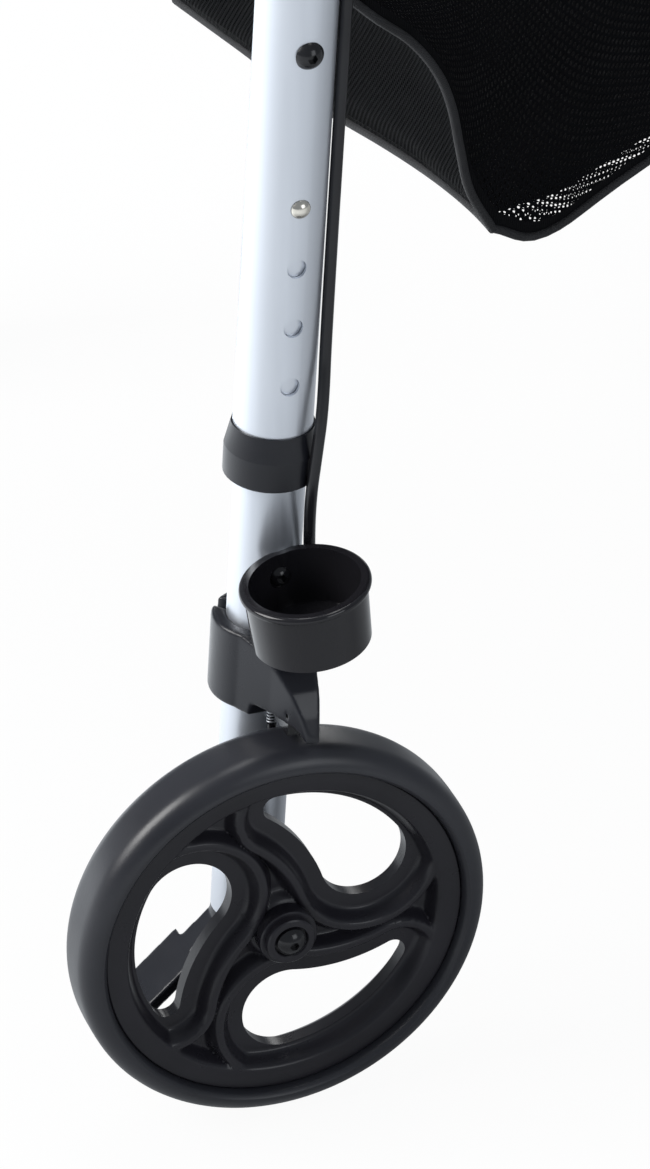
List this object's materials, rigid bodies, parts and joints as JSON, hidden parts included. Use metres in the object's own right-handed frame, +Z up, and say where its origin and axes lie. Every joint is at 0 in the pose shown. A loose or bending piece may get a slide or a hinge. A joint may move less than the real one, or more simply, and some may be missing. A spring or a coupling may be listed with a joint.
{
  "type": "rollator",
  "caption": "Folding walking frame on wheels with caster fronts, cable brakes, seat, mesh bag, height-adjusting legs and handles, and a cane cup beside the right rear wheel.",
  "frame": {"origin": "on the floor under the middle of the bounding box, which is midway between the side frames to within a few millimetres", "axes": "+X forward, the way the user walks; +Y to the user's left; +Z up"},
  "size_m": [0.7399, 0.6753, 0.8888],
  "materials": {
    "tube": "satin anodised",
    "arm": "satin silver paint",
    "matte_plastic": "fine grain, satin",
    "gloss_plastic": "glossy moulded",
    "rim": "glossy moulded",
    "tyre": "smooth matt rubber",
    "grip": "matt rubber",
    "cable": "satin",
    "black_steel": "black oxide, glossy",
    "nickel": "nickel plated",
    "zinc": "zinc plated",
    "mesh": "knitted mesh",
    "vinyl": "fine grained vinyl"
  },
  "bodies": {
    "right_frame": {"column_tube_right": "tube", "front_frame_tube_right": "tube", "rail_cradles_right": "matte_plastic", "leg_collars_right": "matte_plastic", "frame_screws_right": "black_steel", "brake_cable_right": "cable", "bag": "mesh"},
    "left_frame": {"column_tube_left": "tube", "front_frame_tube_left": "tube", "rail_cradles_left": "matte_plastic", "leg_collars_left": "matte_plastic", "frame_screws_left": "black_steel", "brake_cable_left": "cable"},
    "rear_leg_right": {"rear_leg_tube_right": "tube", "rear_axle_bolt_right": "black_steel", "brake_housing_right": "matte_plastic", "brake_spring_right": "zinc", "kerb_pedal_right": "matte_plastic", "cane_cup": "gloss_plastic", "cane_cup_screw": "black_steel"},
    "rear_clip_right": {"rear_snap_clip_right": "nickel"},
    "shoe_right": {"brake_shoe_right": "black_steel"},
    "rear_wheel_right": {"rear_rim_right": "rim", "rear_tyre_right": "tyre"},
    "front_leg_right": {"front_leg_tube_right": "tube"},
    "front_clip_right": {"front_snap_clip_right": "nickel"},
    "caster_right": {"caster_fork_right": "matte_plastic", "front_axle_bolt_right": "black_steel"},
    "front_wheel_right": {"front_rim_right": "rim", "front_tyre_right": "tyre"},
    "handle_right": {"handle_tube_right": "tube", "hand_grip_right": "grip", "lever_housing_right": "matte_plastic"},
    "lever_right": {"brake_lever_right": "gloss_plastic"},
    "knob_right": {"height_knob_right": "gloss_plastic"},
    "rear_leg_left": {"rear_leg_tube_left": "tube", "rear_axle_bolt_left": "black_steel", "brake_housing_left": "matte_plastic", "brake_spring_left": "zinc", "kerb_pedal_left": "matte_plastic"},
    "rear_clip_left": {"rear_snap_clip_left": "nickel"},
    "shoe_left": {"brake_shoe_left": "black_steel"},
    "rear_wheel_left": {"rear_rim_left": "rim", "rear_tyre_left": "tyre"},
    "front_leg_left": {"front_leg_tube_left": "tube"},
    "front_clip_left": {"front_snap_clip_left": "nickel"},
    "caster_left": {"caster_fork_left": "matte_plastic", "front_axle_bolt_left": "black_steel"},
    "front_wheel_left": {"front_rim_left": "rim", "front_tyre_left": "tyre"},
    "handle_left": {"handle_tube_left": "tube", "hand_grip_left": "grip", "lever_housing_left": "matte_plastic"},
    "lever_left": {"brake_lever_left": "gloss_plastic"},
    "knob_left": {"height_knob_left": "gloss_plastic"},
    "arm_rear": {"brace_arm_rear": "arm"},
    "arm_front": {"brace_arm_front": "arm"},
    "rail_right": {"seat_rail_right": "tube", "seat": "vinyl"},
    "rail_left": {"seat_rail_left": "tube"}
  },
  "joints": [
    {"name": "rear_leg_height_right", "type": "slide", "parent": "right_frame", "child": "rear_leg_right", "axis": [-0.0583, 0, -0.9983], "range_m": [0, 0.078], "deforming": ["brake_cable_right", "rear_snap_clip_right"]},
    {"name": "rear_button_right", "type": "slide", "parent": "rear_leg_right", "child": "rear_clip_right", "axis": [0, 1, 0], "range_m": [0, 0.0038], "stiffness_N_per_m": 900, "springref_m": -0.001},
    {"name": "rear_wheel_spin_right", "type": "hinge", "parent": "rear_leg_right", "child": "rear_wheel_right", "pos_m": [-0.23798, -0.312, 0.0875], "axis": [0, 1, 0], "continuous": true},
    {"name": "front_leg_height_right", "type": "slide", "parent": "right_frame", "child": "front_leg_right", "axis": [0, 0, -1], "range_m": [0, 0.078], "deforming": ["front_snap_clip_right"]},
    {"name": "front_button_right", "type": "slide", "parent": "front_leg_right", "child": "front_clip_right", "axis": [0, 1, 0], "range_m": [0, 0.0038], "stiffness_N_per_m": 900, "springref_m": -0.001},
    {"name": "caster_swivel_right", "type": "hinge", "parent": "front_leg_right", "child": "caster_right", "pos_m": [0.32402, -0.2775, 0.2], "axis": [0, 0, 1], "continuous": true},
    {"name": "front_wheel_spin_right", "type": "hinge", "parent": "caster_right", "child": "front_wheel_right", "pos_m": [0.28202, -0.2775, 0.0875], "axis": [0, 1, 0], "continuous": true},
    {"name": "handle_height_right", "type": "slide", "parent": "right_frame", "child": "handle_right", "axis": [0.0583, 0, 0.9983], "range_m": [0, 0.1], "deforming": ["brake_cable_right"]},
    {"name": "brake_lever_right", "type": "hinge", "parent": "handle_right", "child": "lever_right", "pos_m": [-0.25136, -0.2775, 0.83655], "axis": [0, 1, 0], "range_deg": [0, 12.5], "stiffness_Nm_per_rad": 1, "springref_deg": -17.19},
    {"name": "brake_shoe_right", "type": "slide", "parent": "rear_leg_right", "child": "shoe_right", "axis": [-0.0583, 0, -0.9983], "range_m": [0, 0.0017], "deforming": ["brake_spring_right"]},
    {"name": "knob_turn_right", "type": "hinge", "parent": "right_frame", "child": "knob_right", "pos_m": [-0.19982, -0.2934, 0.74139], "axis": [0, 1, 0], "range_deg": [0, 360]},
    {"name": "rear_leg_height_left", "type": "slide", "parent": "left_frame", "child": "rear_leg_left", "axis": [-0.0583, 0, -0.9983], "range_m": [0, 0.078], "deforming": ["brake_cable_left", "rear_snap_clip_left"]},
    {"name": "rear_button_left", "type": "slide", "parent": "rear_leg_left", "child": "rear_clip_left", "axis": [0, -1, 0], "range_m": [0, 0.0038], "stiffness_N_per_m": 900, "springref_m": -0.001},
    {"name": "rear_wheel_spin_left", "type": "hinge", "parent": "rear_leg_left", "child": "rear_wheel_left", "pos_m": [-0.23798, 0.312, 0.0875], "axis": [0, 1, 0], "continuous": true},
    {"name": "front_leg_height_left", "type": "slide", "parent": "left_frame", "child": "front_leg_left", "axis": [0, 0, -1], "range_m": [0, 0.078], "deforming": ["front_snap_clip_left"]},
    {"name": "front_button_left", "type": "slide", "parent": "front_leg_left", "child": "front_clip_left", "axis": [0, -1, 0], "range_m": [0, 0.0038], "stiffness_N_per_m": 900, "springref_m": -0.001},
    {"name": "caster_swivel_left", "type": "hinge", "parent": "front_leg_left", "child": "caster_left", "pos_m": [0.32402, 0.2775, 0.2], "axis": [0, 0, 1], "continuous": true},
    {"name": "front_wheel_spin_left", "type": "hinge", "parent": "caster_left", "child": "front_wheel_left", "pos_m": [0.28202, 0.2775, 0.0875], "axis": [0, 1, 0], "continuous": true},
    {"name": "handle_height_left", "type": "slide", "parent": "left_frame", "child": "handle_left", "axis": [0.0583, 0, 0.9983], "range_m": [0, 0.1], "deforming": ["brake_cable_left"]},
    {"name": "brake_lever_left", "type": "hinge", "parent": "handle_left", "child": "lever_left", "pos_m": [-0.25136, 0.2775, 0.83655], "axis": [0, 1, 0], "range_deg": [0, 12.5], "stiffness_Nm_per_rad": 1, "springref_deg": -17.19},
    {"name": "brake_shoe_left", "type": "slide", "parent": "rear_leg_left", "child": "shoe_left", "axis": [-0.0583, 0, -0.9983], "range_m": [0, 0.0017], "deforming": ["brake_spring_left"]},
    {"name": "knob_turn_left", "type": "hinge", "parent": "left_frame", "child": "knob_left", "pos_m": [-0.19982, 0.2934, 0.74139], "axis": [0, 1, 0], "range_deg": [0, 360]},
    {"name": "fold", "type": "hinge", "parent": "right_frame", "child": "arm_rear", "pos_m": [0.28502, -0.2465, 0.316], "axis": [1, 0, 0], "range_deg": [0, 44], "deforming": ["seat", "bag"]},
    {"name": "brace_centre", "type": "hinge", "parent": "arm_rear", "child": "arm_front", "pos_m": [0.29202, 0, 0.418], "axis": [1, 0, 0], "range_deg": [-88, 0]},
    {"name": "left_frame_fold", "type": "hinge", "parent": "arm_front", "child": "left_frame", "pos_m": [0.29902, 0.2465, 0.316], "axis": [1, 0, 0], "range_deg": [0, 44]},
    {"name": "left_rail_turn", "type": "hinge", "parent": "arm_rear", "child": "rail_left", "pos_m": [0.28502, 0.2465, 0.52], "axis": [1, 0, 0], "range_deg": [-44, 0]},
    {"name": "right_rail_turn", "type": "hinge", "parent": "arm_front", "child": "rail_right", "pos_m": [0.29902, -0.2465, 0.52], "axis": [1, 0, 0], "range_deg": [0, 44]}
  ],
  "couplings": [
    {"joint": "brake_shoe_right", "follows": "brake_lever_right", "m_per_rad": 0.0077},
    {"joint": "brake_shoe_left", "follows": "brake_lever_left", "m_per_rad": 0.0077},
    {"joint": "brace_centre", "follows": "fold", "ratio": -2},
    {"joint": "left_frame_fold", "follows": "fold", "ratio": 1},
    {"joint": "left_rail_turn", "follows": "fold", "ratio": -1},
    {"joint": "right_rail_turn", "follows": "fold", "ratio": 1}
  ]
}
